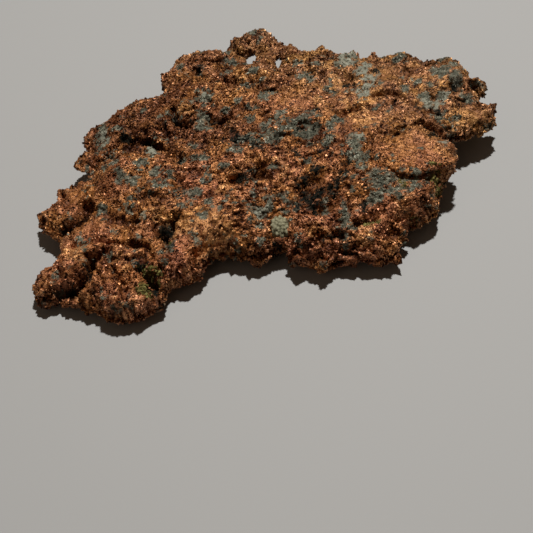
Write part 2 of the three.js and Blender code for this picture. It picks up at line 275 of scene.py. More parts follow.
def strokes(x, y, lines):
    """Depths cut along straight strokes: each is a steep-sided bell of the distance from its line."""
    depth = np.zeros(x.shape)
    for x1, y1, x2, y2, width, hollow_shade in lines:
        run = np.hypot(x2 - x1, y2 - y1)
        along = np.clip(((x - x1) * (x2 - x1) + (y - y1) * (y2 - y1)) / run ** 2, 0, 1)
        away = np.hypot(x - x1 - along * (x2 - x1), y - y1 - along * (y2 - y1)) / width
        depth = np.maximum(depth, hollow_shade * np.exp(-away ** 4 / 2) * (1 - 0.25 * away.clip(0, 1)))
    return depth


def ease(value, start, end):
    """0 below start, 1 above end, and a smooth S between them."""
    t = np.clip((value - start) / (end - start), 0, 1)
    return t * t * (3 - 2 * t)


def cell_number(cell, salt):
    """A repeatable number from 0 to 1 for each whole-numbered cell, by multiplying and folding bits."""
    c = cell.astype(np.int64).astype(np.uint64)
    h = c[..., 0] * np.uint64(374761393) + c[..., 1] * np.uint64(668265263)
    h = h + c[..., 2] * np.uint64(2147483629)
    h = (h + np.uint64(salt * 1274126177)) & np.uint64(0xFFFFFFFF)
    h = ((h ^ (h >> np.uint64(13))) * np.uint64(1103515245)) & np.uint64(0xFFFFFFFF)
    h = ((h ^ (h >> np.uint64(15))) * np.uint64(2246822519)) & np.uint64(0xFFFFFFFF)
    return (h ^ (h >> np.uint64(16))).astype(float) / 2 ** 32


def rolling(points, spacing, salt):
    """Smooth noise from -1 to 1: a number at each corner of a cubic lattice, eased between corners."""
    scaled = points / spacing
    cell = np.floor(scaled)
    part = scaled - cell
    part = part ** 3 * (part * (part * 6 - 15) + 10)
    total = np.zeros(len(points))
    for dx in (0, 1):
        for dy in (0, 1):
            for dz in (0, 1):
                corner = np.array((dx, dy, dz))
                share = np.prod(np.where(corner == 1, part, 1 - part), axis=-1)
                total += share * cell_number(cell + corner, salt)
    return 2 * total - 1


def knobs(points, spacing, salt):
    """Rounded knobs packed together: one seed in each cubic cell, and the height at a point falls
    with the square of its distance to the nearest seed, from 1 on the seed to 0 in the creases."""
    scaled = points / spacing
    cell = np.floor(scaled)
    nearest = np.full(len(points), 9.0)
    for dx in (-1, 0, 1):
        for dy in (-1, 0, 1):
            for dz in (-1, 0, 1):
                near = cell + np.array((dx, dy, dz))
                seed = near + np.stack([cell_number(near, salt + i) for i in (1, 2, 3)], axis=-1)
                size = 0.8 + 0.4 * cell_number(near, salt + 4)
                nearest = np.minimum(nearest, ((scaled - seed) ** 2).sum(-1) / size)
    return 1 - np.clip(nearest, 0, 1)


def outward(points, faces):
    """The unit normal at every point: the area-weighted sum of the normals of the faces round it."""
    a, b, c, d = (points[faces[:, i]] for i in (0, 1, 2, -1))
    normal = np.cross(c - a, d - b) if faces.shape[1] == 4 else np.cross(b - a, c - a)
    total = np.zeros_like(points)
    for corner in range(faces.shape[1]):
        for axis in range(3):
            total[:, axis] += np.bincount(faces[:, corner], normal[:, axis], len(points))
    return total / np.maximum(np.linalg.norm(total, axis=1, keepdims=True), 1e-12)


def two_sheets(steps, opening):
    """Point numbers and faces of two square grids, one above the other, joined along their edges.

    opening marks the squares that are open right through; a wall joins the two grids round them.
    Returns the number grid of each sheet and the faces, which all point outwards."""
    side = steps + 1
    upper = np.arange(side * side).reshape(side, side)
    inside = np.zeros((side, side), bool)
    inside[1:-1, 1:-1] = True
    lower = upper.copy()
    lower[inside] = side * side + np.arange(inside.sum())
    solid = ~opening
    faces = []
    for grid, order in ((upper, (0, 1, 2, 3)), (lower, (3, 2, 1, 0))):
        corners = [grid[:-1, :-1], grid[1:, :-1], grid[1:, 1:], grid[:-1, 1:]]
        faces.append(np.stack([corners[i][solid] for i in order], axis=-1))
    for axis in (0, 1):
        here, there = (solid[:-1], solid[1:]) if axis == 0 else (solid[:, :-1], solid[:, 1:])
        for wanted, flip in ((here & ~there, axis == 1), (~here & there, axis == 0)):
            i, j = np.nonzero(wanted)
            start = (i + 1, j) if axis == 0 else (i, j + 1)
            end = (i + 1, j + 1)
            wall = [upper[start], lower[start], lower[end], upper[end]]
            faces.append(np.stack(wall[::-1] if flip else wall, axis=-1))
    return upper, lower, np.concatenate(faces)


def disc_grid(steps):
    """A square grid drawn smoothly onto the unit disc, as complex numbers."""
    side = np.linspace(-1, 1, steps + 1)
    a, b = np.meshgrid(side, side, indexing="ij")
    return a * np.sqrt(1 - b ** 2 / 2) + 1j * b * np.sqrt(1 - a ** 2 / 2)


def put_mesh(name, points, faces, marks, smooth=True):
    """A new object whose mesh holds points in millimetres, faces, and a number per point for each mark."""
    mesh = bpy.data.meshes.new(name)
    corners = faces.shape[1]
    mesh.vertices.add(len(points))
    mesh.vertices.foreach_set("co", ((points + to_frame) * MM).astype(np.float32).ravel())
    mesh.loops.add(faces.size)
    mesh.loops.foreach_set("vertex_index", faces.astype(np.int32).ravel())
    mesh.polygons.add(len(faces))
    mesh.polygons.foreach_set("loop_start", np.arange(0, faces.size, corners, dtype=np.int32))
    mesh.polygons.foreach_set("use_smooth", np.full(len(faces), smooth))
    for mark, values in marks.items():
        layer = mesh.attributes.new(mark, "FLOAT", "POINT")
        layer.data.foreach_set("value", values.astype(np.float32))
    mesh.update(calc_edges=True)
    piece = bpy.data.objects.new(name, mesh)
    bpy.context.scene.collection.objects.link(piece)
    return piece


# Where the copper has changed colour: x, y, radius. Green is a thin mineral bloom, and pale is where
# that is thick and chalky. Black is old oxide, and in the clefts, the hollows and at the front edge
# it is painted shade. Olive is yellowish dirt in the clefts, and bright is a painted golden highlight.
# Where it is smooth it has only its fine grain. Dusky is a wide, soft painted shade over the back
# left, and rosy is a soft pink tone of the bare copper that is also a painted highlight at the front.
GREEN = np.array([
    # front left
    (-36.3, -1, 1.5), (-35, -4, 1.5), (-33.5, -7, 1.5), (-24.5, -5, 1.1), (-26.5, -8, 2),
    (-24, -11, 1.8), (-21, -11, 1.3), (-23, -14, 1.6), (-18.3, -6.5, 1.3), (-15.8, -6.3, 1.3),
    (-13.5, -6, 1.1), (-16.5, -2.5, 1.1), (-13, -11.5, 1.6), (-9.5, -9.5, 1), (-7, -4, 1.8),
    (-4, -2.5, 2.2), (-6.5, -6, 1.2), (-3, -12.5, 1.6), (-2.3, -15.5, 1.2), (-15.3, -15.5, 1.6),
    (-17, -18.5, 1.5), (-11.2, -18, 1), (-35, -18.3, 1.7), (-28, -19.5, 1), (-26, -21.5, 1.2),
    (-13, -22, 1.6), (-1, -21.5, 2), (-13.5, -26, 1), (-6.5, -27, 1.1), (-31.3, -11.7, 1.3),
    (-28.5, -12.5, 1.4), (-19.8, -28.5, 1), (-19.7, -31.5, 1), (-30.8, -30.8, 1),
    (-36.5, -32.5, 0.9), (-25.5, -33, 0.8),
    # front right
    (-1, -1, 2.2), (1, -2, 2.6), (2.5, -4, 1.3), (7.5, -1.5, 1.7), (9, -3.5, 1.1), (12, -2.5, 1.3),
    (19, -2, 2.2), (18, -4.5, 1.7), (18.5, -7.5, 2.4), (19.5, -11, 1.1), (26, -0.5, 1.3),
    (36.8, -2.6, 1.2), (23.5, -8, 0.8), (9, -8.5, 1.5), (23, -14, 2.8), (26, -14.5, 2.8),
    (28.5, -12.5, 2.2), (27, -16.5, 1.7), (22.5, -17, 2), (31, -12, 1.5), (33.5, -16, 1.1),
    (33, -13, 1), (3.5, -17, 1.6), (1, -18, 1.6), (6, -17.5, 1.5), (4, -20.5, 1.3),
    (12, -18.5, 1.1), (14, -16, 0.9), (16.5, -23, 1.4), (18.5, -23.5, 1.1), (16.5, -26, 1.2),
    # back left
    (-38.5, 6, 1.6), (-37.5, 3, 1.7), (-30, 10.5, 1), (-25, 6.5, 1.3), (-23.5, 7.5, 0.9),
    (-20, 10, 1.5), (-18, 12.5, 1.1), (-16, 13.5, 2.1), (-14.5, 12, 1.5), (-16.5, 15, 1),
    (-8, 10, 1.2), (-6.5, 15.5, 1.6), (-8, 27, 1.7), (-11.5, 27, 1.5), (-10, 25, 1.2),
    (-22.5, 25.5, 1.3), (-12.5, 30, 1), (-4.5, 22, 1.6), (-6, 20, 1), (-3, 17, 1), (-1.5, 12, 2.1),
    (-4, 4.5, 1.6), (-14.5, 5, 2), (-14.5, 2.5, 2.1), (-8, 5.5, 0.9), (-6.5, 38, 1.9), (-5, 8, 1),
    # back right
    (1.5, 3.5, 2.2), (4, 1.5, 2.2), (7, 5, 1.6), (8.5, 1.5, 1.7), (15, 3.5, 2.2), (13, 1.5, 1.1),
    (6.5, 18, 2.2), (7.5, 16.5, 1.3), (5, 22, 1.3), (9, 21, 1.1), (12, 13.5, 1.1), (14.5, 24, 1.7),
    (13.8, 22, 1.1), (16.5, 28, 1.7), (17.5, 25, 1.5), (21.5, 18.5, 1.4), (20, 15, 1.2),
    (19, 11.5, 1.4), (23.5, 27, 1), (27.5, 24.5, 1), (23, 8.5, 1.1), (29, 14.5, 1.1), (29, 18, 1),
    (31.5, 17.5, 1.1), (34.5, 16, 1.1), (33.8, 11.8, 1.8), (37.5, 25, 2), (37, 19.5, 2),
    (40.5, 22, 2), (40, 17.5, 2), (42.5, 25, 1.1), (37, 13, 1.4), (43.5, 13, 1.7), (41, 13.5, 1.1),
    (37, 7, 2.2), (40, 6.5, 1.1), (38.5, 3.8, 1.4), (32.5, 3.5, 1.1), (28, 1, 1.2),
    # the wide bloom across the middle
    (-1, 1, 1.8), (2.2, 2.5, 2), (4.7, 3.1, 2), (5.7, -0.1, 1.8), (-1.5, -1.7, 1.6), (9, 5.2, 1.5),
    (-3.5, -3.6, 1.5), (1.4, -0.3, 2), (7, 3.5, 1.6), (30.5, -14.5, 2), (32.5, -13.5, 1.6),
])
# Black places: old oxide, and painted shade in the clefts and hollows.
OXIDE_AND_SHADE_PLACES = np.array([
    # in the clefts and hollows at the front left
    (-42.3, -20, 1.3), (-41, -19, 1.1), (-20.2, -24.6, 1.6), (-19.4, -22.6, 1.3), (-19, -27, 0.9),
    (-24.8, -32.6, 1.2), (-21, -36.2, 1.2), (-38.5, -37.4, 1), (-35.2, -35.4, 0.9),
    (-34.6, -33, 0.7), (-28, -21.5, 0.6),
    # round the crater chain and across the back left
    (-20.5, 3.8, 1.1), (-22, 6.2, 1), (-17, 5, 0.8), (-11.8, 4.7, 1.2), (-9.8, 4.7, 1.1),
    (-27, -0.8, 1.2), (-24.5, -2.4, 1), (-33, 3, 1.3), (-30.5, 1.5, 1.1), (-18, 24, 1),
    (-17.5, 22, 0.9), (-13, 18.5, 0.7), (-11, 17.6, 0.8), (-8.5, 17, 0.7), (-10, 8, 0.9),
    # over the middle
    (-18.5, -13.5, 1.4), (-19, -6, 1), (-5.5, -11, 1.2), (-10, -2.5, 1), (-13.5, -12.5, 0.9),
    (3, -3, 0.9), (-5, -3.2, 1.5), (-2, -5, 1.4), (-7, -1.4, 1.3), (-8.5, 0, 1), (6.2, -6.8, 1),
    (12, -6, 1),
    # the broad patch and the long streak right of the middle
    (9, -15, 2.2), (10, -10.5, 1.4), (8, -13, 1.4), (11, -18.5, 1.3), (13.5, -15.5, 1.2),
    (16.9, -9.2, 1.4), (16.2, -11, 1.4), (15.2, -12.6, 1.4), (14.2, -14.2, 1.4), (13.2, -15.6, 1.3),
    # front edge and front right
    (2.4, -26, 1.5), (11.5, -25, 1), (13.5, -24.7, 1), (15, -24.4, 0.8), (19.5, -22.5, 1.1),
    (20, -19, 1), (7, -18, 1), (31, -20.5, 1),
    # back right
    (40.3, 15.6, 1.2), (31.5, 9, 1.2), (27.5, 24, 0.8), (10, 6.5, 0.9), (36, 8.5, 1),
    (22.5, 21.5, 0.8), (12.5, 13, 0.9), (34, 0.5, 1.3), (24, 12, 0.7), (27, 12.4, 0.7),
    (17, 7, 0.7), (17, 15.8, 1.2),
])
OLIVE = np.array([
    (-23.6, -33.6, 1.4), (-21.4, -34.2, 0.9), (-22.6, -38.6, 1.3), (-19, -27.3, 0.7),
    (20.9, -23.1, 1.5), (22.2, -21.6, 0.9), (34.6, -11.1, 1.4), (28, -14, 1.2), (35, -9, 1),
    (30, -19.8, 0.9),
])
SMOOTH = np.array([
    (30.5, -4, 8), (-12, -23, 6), (17, 6, 5), (14, 14, 4), (-37, -29, 4), (-37, -22, 3.5),
    (-42, -12, 3), (21, 4, 4), (25, 7, 4), (5, 9, 4), (24, 20, 7), (44, 9, 4), (38, 20, 7),
    (32, 10, 6), (22, 12, 5),
])
PALE = np.array([
    (34, 11.6, 2.3), (21.3, 18.2, 2.2), (20, 15.5, 1.4), (19.3, 12.8, 1.9), (16, 25.6, 2.5),
    (17.6, 27.6, 2.2), (20, 22, 2), (37.5, 12.6, 1.3), (-38, 5.5, 1.4), (-37, 2.5, 1.4),
    (-35.6, -1, 1.3), (-34.4, -3.8, 1.1), (-25.5, -4, 1.4), (-15.5, 13.5, 1.4), (-20.2, -26.8, 0.9),
    (-20.4, -28.4, 0.8), (-1.2, -20, 1.2), (18.5, -1, 1.4), (36.8, -2.6, 1.0), (23.5, 27, 0.8),
    (40, 17.5, 0.9),
])
# Painted golden highlights: places where the copper is made lighter and golden.
GOLDEN_HIGHLIGHTS = np.array([
    (14, 16, 2.6), (16.5, 9.5, 2.2), (14, 19, 2), (44.5, 8, 2.2), (-10, -24.5, 4), (-27, -42, 1.5),
    (12, -24.5, 3), (20, -24.5, 2.5), (4, -11.5, 2.2), (2.5, -9, 1.8), (-19, 8, 2),
    (-8.6, 2.6, 1.5), (12.5, 21.5, 2), (18, 8, 2.6), (-15, -23, 4), (-38.5, -30, 2.5),
    (13, -22.5, 1.6), (25, -30, 1.2), (11, -30, 1.2), (-9, -15, 1.6), (-8, 19, 1.4),
    (-39, -29, 2.5), (10, 9, 1.6), (-21, -20.5, 2), (-28, -32, 2.5), (20, 5, 3),
])
# Painted shade: a wide, soft darkening over the back left.
PAINTED_SHADE_PLACES = np.array([
    (-37, 5, 6), (-30, 8, 6), (-22, 5, 6), (-26, 14, 5), (-14, -1, 5), (-30, -1, 4), (-8, 2, 4),
])
# A pink tone, and a painted highlight on the front lobes and the pink glints.
PINK_AND_HIGHLIGHT_PLACES = np.array([
    (3.5, -10, 3.5), (-28, -35, 6), (-33, -27.5, 3), (-14, -13, 4), (-41, -33, 4), (12, -25, 5),
    (22, -24, 5), (-17, -31, 4), (4, -26, 3),
])


def patch(points, places, salt):
    """How strongly a colour lies at each point, 0 to 1. It falls off from the middle of each place,
    drawn out of round by smooth noise, and two finer noises tear it into islands and holes."""
    strength = np.zeros(len(points))
    drawn_x = points[:, 0] + 0.9 * rolling(points, 2.6, salt + 3)
    drawn_y = points[:, 1] + 0.9 * rolling(points, 2.6, salt + 4)
    for x, y, radius in places:
        away = np.hypot(drawn_x - x, drawn_y - y) / radius
        strength = np.maximum(strength, np.clip(1.42 - away, 0, 1.1))
    torn = 0.55 * rolling(points, 1.8, salt) + 0.8 * rolling(points, 0.75, salt + 9)
    return ease(strength + torn * np.clip(strength * 2, 0, 1), 0.5, 0.75)


def creases(points, spacing, width, salt):
    """Narrow winding creases: 1 along the lines where smooth noise passes zero, and falling off
    beside them as a bell curve. The places where it is read are themselves shifted by noise."""
    drift = np.stack([rolling(points, spacing * 0.5, salt + i) for i in (1, 2, 3)], axis=-1)
    return np.exp(-(rolling(points + 0.35 * spacing * drift, spacing, salt) / width) ** 2)


def shading(points, places):
    """A soft-edged share from 0 to 1: the strongest of a bell curve round each place."""
    share = np.zeros(len(points))
    for x, y, radius in places:
        away = np.hypot(points[:, 0] - x, points[:, 1] - y) / radius
        share = np.maximum(share, np.exp(-away ** 2))
    return share


def colour_marks(points, normals, relief):
    """The marks that the finish reads, for points on the copper.

    crest is high relief; green, pale, black, olive and bright are the colour patches, and a thinner
    scatter of green flecks lies everywhere, more of it on the underside. Black is old oxide and, in
    the clefts, painted shade; bright is a painted golden highlight. dusky is a soft painted shade and
    rosy a soft pink tone with a painted highlight, film is the tan film that thickens towards the back
    right, and smooth is where the copper has only its fine grain. The bottoms of the deep hollows are
    painted black as shade, and the faces that look down take a weak painted shade."""
    under = ease(-normals[:, 2], 0.1, 0.6)
    # Painted shade: the bottoms of the deep hollows are made black.
    hollow_shade = 0.9 * ease(strokes(points[:, 0], points[:, 1], HOLLOWS), 2.4, 4.4)
    beneath = ease(-normals[:, 2], 0.6, 0.95)
    flecks = rolling(points, 2.6, 71) + 0.9 * rolling(points, 0.9, 72) + 0.25 * beneath
    return {
        "crest": relief,
        "green": np.maximum(patch(points, GREEN, 31) * (1 - under), ease(flecks, 0.86, 1.0)),
        "pale": patch(points, PALE, 36) * (1 - under),
        # Black is old oxide and painted shade; the faces that look down take a weak painted shade.
        "oxide_and_shade": np.maximum(np.maximum(patch(points, OXIDE_AND_SHADE_PLACES, 32), hollow_shade) * (1 - under), 0.2 * beneath),
        "olive": patch(points, OLIVE, 33) * (1 - under),
        "painted_highlight": patch(points, GOLDEN_HIGHLIGHTS, 34) * (1 - under),
        "painted_shade": shading(points, PAINTED_SHADE_PLACES),
        "pink_and_highlight": shading(points, PINK_AND_HIGHLIGHT_PLACES),
        "film": ease(0.45 * points[:, 0] + 0.9 * points[:, 1], 2, 26),
        "smooth": shading(points, SMOOTH),
    }


def grown(points, faces, layers, cracks, ragged):
    """Pushes points out along their normals by knobs of several sizes, the large ones first, so
    that small knobs stand on the sides of large ones, and then in again along creases. Both do
    less where the copper is smooth and more where it is ragged. Returns the points and the
    relief, 0 to 1."""
    relief = np.zeros(len(points))
    calm = (1 - 0.55 * patch(points, SMOOTH, 35)) * (1 + 0.15 * ragged)
    for spacing, rise, salt in layers:
        height = knobs(points, spacing, salt)
        rough = rolling(points, spacing * 0.45, salt + 7)
        push = rise * calm * (height - 0.55 - 0.3 * ragged + 0.35 * rough)
        drift = np.stack([rolling(points, spacing * 0.8, salt + i) for i in (11, 12, 13)], axis=-1)
        points = points + outward(points, faces) * push[:, None] + 0.3 * (rise * calm)[:, None] * drift
        relief = 0.45 * relief + 0.55 * (height + 0.3 * rough)
    for spacing, width, depth, salt in cracks:
        share = creases(points, spacing, width, salt) * ease(rolling(points, 9.0, salt + 8), -0.35, 0.15)
        points = points - outward(points, faces) * (depth * (0.4 + 0.6 * calm) * share)[:, None]
        relief = relief * (1 - 0.9 * share)
    return points, relief.clip(0, 1)


def edge_distance(plan, outline):
    """How far each point of the plan lies from the nearest of the outline's own points."""
    flat = plan.ravel()
    nearest = [np.abs(part[:, None] - outline[None, ::3]).min(axis=1) for part in np.array_split(flat, 60)]
    return np.concatenate(nearest).reshape(plan.shape)


disc = disc_grid(PLATE_STEPS)
ring = np.clip((1 - np.abs(disc)) / RIM_BAND, 0, 1)
from_rim = np.where(ring < 1, RIM_BAND * ring ** 2 * (2 - ring), 1 - np.abs(disc))
disc = np.where(np.abs(disc) > 0, disc / np.maximum(np.abs(disc), 1e-9), 0) * (1 - from_rim)
outline = closed_curve(OUTLINE, 2048)

# The frame has its origin under the middle of the part, so every piece, and the camera with them,
# is carried there from the outline's own middle.
to_frame = np.array((cad_box[0] + cad_box[1]) / MM / 2)
to_frame[0] -= (outline.real.min() + outline.real.max()) / 2
to_frame[1] -= (outline.imag.min() + outline.imag.max()) / 2
to_frame[2] = 0

# Small teeth all round the rim: the outline is moved outwards or inwards by smooth noise.
along = np.roll(outline, -1) - np.roll(outline, 1)
teeth = rolling(np.stack([outline.real, outline.imag, np.zeros(len(outline))], axis=-1), EDGE_TEETH, 90)
outline = outline - 1j * along / np.abs(along) * EDGE_RAGGEDNESS * teeth
plan = plan_of(disc, outline)
plan_x, plan_y = plan.real, plan.imag
inward = edge_distance(plan, outline) * (np.abs(disc) < 1 - 1e-9)

# The two faces. Both are at the middle height on the rim. The upper one rises from it as a quarter
# of an ellipse does and the lower one falls from it along a parabola. The hollows are cut in the
# upper face alone, and some thickness is always left under them.
backness = ease(plan_y - 0.4 * plan_x, -22, 18)
rim_round = FRONT_RIM_ROUND + (BACK_RIM_ROUND - FRONT_RIM_ROUND) * backness
rim_level = FRONT_RIM_LEVEL + (BACK_RIM_LEVEL - FRONT_RIM_LEVEL) * backness
fullness = np.sqrt(1 - (1 - np.clip(inward / rim_round, 0, 1)) ** 2)
undercut = 1 - (1 - np.clip(inward / UNDERCUT_REACH, 0, 1)) ** 2

gap_distance = np.full(plan.shape, 99.0)
for x, y, half_x, half_y in GAPS:
    away = np.hypot((plan_x - x) / half_x, (plan_y - y) / half_y) - 1
    gap_distance = np.minimum(gap_distance, away * min(half_x, half_y))
near_gap = 0.3 + 0.7 * ease(gap_distance, 0, 2.2)
fullness = fullness * near_gap

top = gauge(plan_x, plan_y, 3) + masses(plan_x, plan_y) + strokes(plan_x, plan_y, RIDGES)
arch = np.hypot(plan_x - ARCH[0], plan_y - ARCH[1]) / ARCH[2]
bottom = gauge(plan_x, plan_y, 2) + ARCH[3] * np.exp(-arch ** 2)
middle = bottom + rim_level * (gauge(plan_x, plan_y, 3) - bottom)
pit = strokes(plan_x, plan_y, HOLLOWS)
top_z = middle + fullness * (top - middle) - pit * fullness
bottom_z = middle - undercut * near_gap * (middle - bottom)
top_z = np.maximum(top_z, bottom_z + LEAST_THICKNESS * fullness)

cell_gap = (gap_distance[:-1, :-1] + gap_distance[1:, 1:]) / 2
upper, lower, plate_faces = two_sheets(PLATE_STEPS, cell_gap < 0)
plate_points = np.zeros((lower.max() + 1, 3))
plate_points[lower.ravel()] = np.stack([plan_x, plan_y, bottom_z], axis=-1).reshape(-1, 3)
plate_points[upper.ravel()] = np.stack([plan_x, plan_y, top_z], axis=-1).reshape(-1, 3)
plate_ragged = np.zeros(len(plate_points))
plate_ragged[lower.ravel()] = plate_ragged[upper.ravel()] = 1 - ease(inward, 0.5, 4.0).ravel()
plate_points, plate_relief = grown(
    plate_points,
    plate_faces,
    PLATE_KNOBS,
    PLATE_CREASES,
    plate_ragged,
)

# Painted light and shade: the rim is made a little lighter than the rest, and the hollows darker.
plate_relief = (plate_relief + 0.18 * plate_ragged).clip(0, 1)
plate_relief[upper.ravel()] *= 1 - 0.8 * ease(pit, 0.8, 3.0).ravel()

# The nugget stands on its worn flats alone: everything else on the underside is lifted clear.
rest_distance = np.hypot(
    plate_points[:, None, 0] - RESTS[:, 0], plate_points[:, None, 1] - RESTS[:, 1]
).min(axis=1)
lift = REST_LIFT * ease(rest_distance, REST_RADIUS * 0.6, REST_RADIUS + REST_SLOPE)
plate_points[:, 2] = np.maximum(plate_points[:, 2], lift)
is_under = outward(plate_points, plate_faces)[:, 2] < -0.2
lowered = plate_points[:, 2] * ease(rest_distance, REST_RADIUS * 0.6, REST_RADIUS + REST_SLOPE)
plate_points[:, 2] = np.where(is_under, lowered, plate_points[:, 2])

plate_normals = outward(plate_points, plate_faces)
plate_marks = colour_marks(plate_points, plate_normals, plate_relief)


def link(tree, value, socket):
    """Joins a node's output, or sets a plain value, on a socket."""
    if isinstance(value, bpy.types.NodeSocket):
        tree.links.new(value, socket)
    else:
        socket.default_value = value


def mark_of(tree, name):
    """The number that a mark gives at this point of the surface."""
    node = tree.nodes.new("ShaderNodeAttribute")
    node.attribute_name = name
    return node.outputs["Fac"]


def sums(tree, operation, *values):
    """One step of arithmetic on numbers, held between 0 and 1."""
    node = tree.nodes.new("ShaderNodeMath")
    node.operation = operation
    node.use_clamp = True
    for value, socket in zip(values, node.inputs):
        link(tree, value, socket)
    return node.outputs[0]


def cloud(tree, size, detail=3.0, roughness=0.6):
    """Smooth noise through the solid, its blotches about size millimetres across."""
    node = tree.nodes.new("ShaderNodeTexNoise")
    node.inputs["Scale"].default_value = 1 / (size * MM)
    node.inputs["Detail"].default_value = detail
    node.inputs["Roughness"].default_value = roughness
    place = tree.nodes.new("ShaderNodeTexCoord")
    tree.links.new(place.outputs["Object"], node.inputs["Vector"])
    return node.outputs["Fac"]


def stops(tree, value, colours):
    """A colour picked along a row of (place, colour) stops."""
    node = tree.nodes.new("ShaderNodeValToRGB")
    ramp = node.color_ramp
    while len(ramp.elements) < len(colours):
        ramp.elements.new(0.5)
    for element, (place, colour) in zip(ramp.elements, colours):
        element.position = place
        element.color = (*colour, 1)
    link(tree, value, node.inputs["Fac"])
    return node.outputs["Color"]


def layered(tree, share, under, over, way="MIX"):
    """One colour laid over another, or multiplied into it, as much as share says."""
    node = tree.nodes.new("ShaderNodeMix")
    node.data_type = "RGBA"
    node.blend_type = way
    link(tree, share, node.inputs["Factor"])
    link(tree, under, node.inputs[6])
    link(tree, over, node.inputs[7])
    return node.outputs[2]


